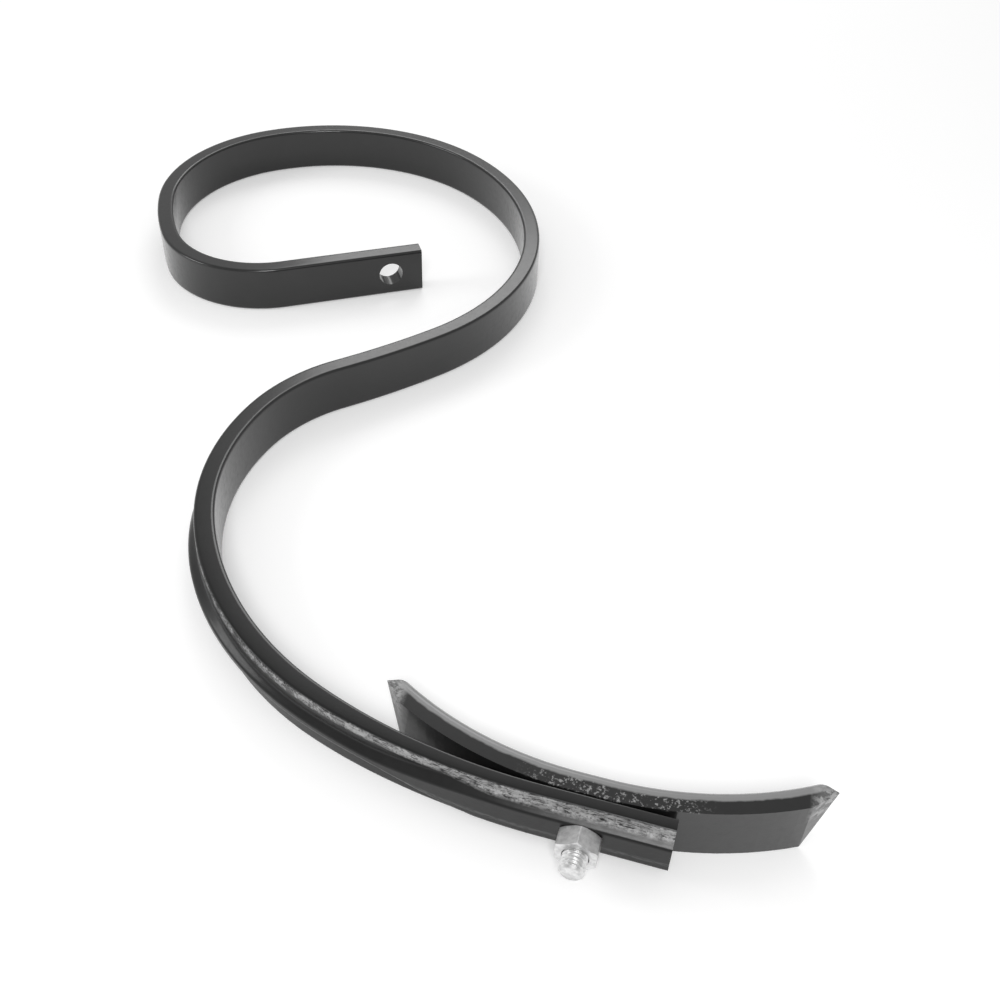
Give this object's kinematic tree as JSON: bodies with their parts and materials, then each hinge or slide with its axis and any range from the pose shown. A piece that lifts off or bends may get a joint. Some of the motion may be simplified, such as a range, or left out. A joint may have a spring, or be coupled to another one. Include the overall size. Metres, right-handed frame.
{
  "type": "cultivator spring tine",
  "caption": "S-shaped sprung cultivator tine of flat bar with a closed coil loop, a ribbed working arc and a bolted curved reversible share.",
  "frame": {"origin": "centre of the mounting hole, midway through the bar's thickness and width", "axes": "+Y along the mounting hole, into the coil loop; +X from the hole to the mounting end; +Z across the bar's width, up as the tine lies on its side"},
  "size_m": [0.2891, 0.7098, 0.032],
  "materials": {
    "tine_paint": "black semi-gloss paint over rolled spring steel",
    "share_paint": "black semi-gloss paint with bare ends",
    "bolt_zinc": "bright zinc plated",
    "nut_zinc": "bright zinc plated"
  },
  "bodies": {
    "root": {"tine": "tine_paint", "share": "share_paint", "share_bolt": "bolt_zinc", "share_nut": "nut_zinc"}
  },
  "joints": []
}
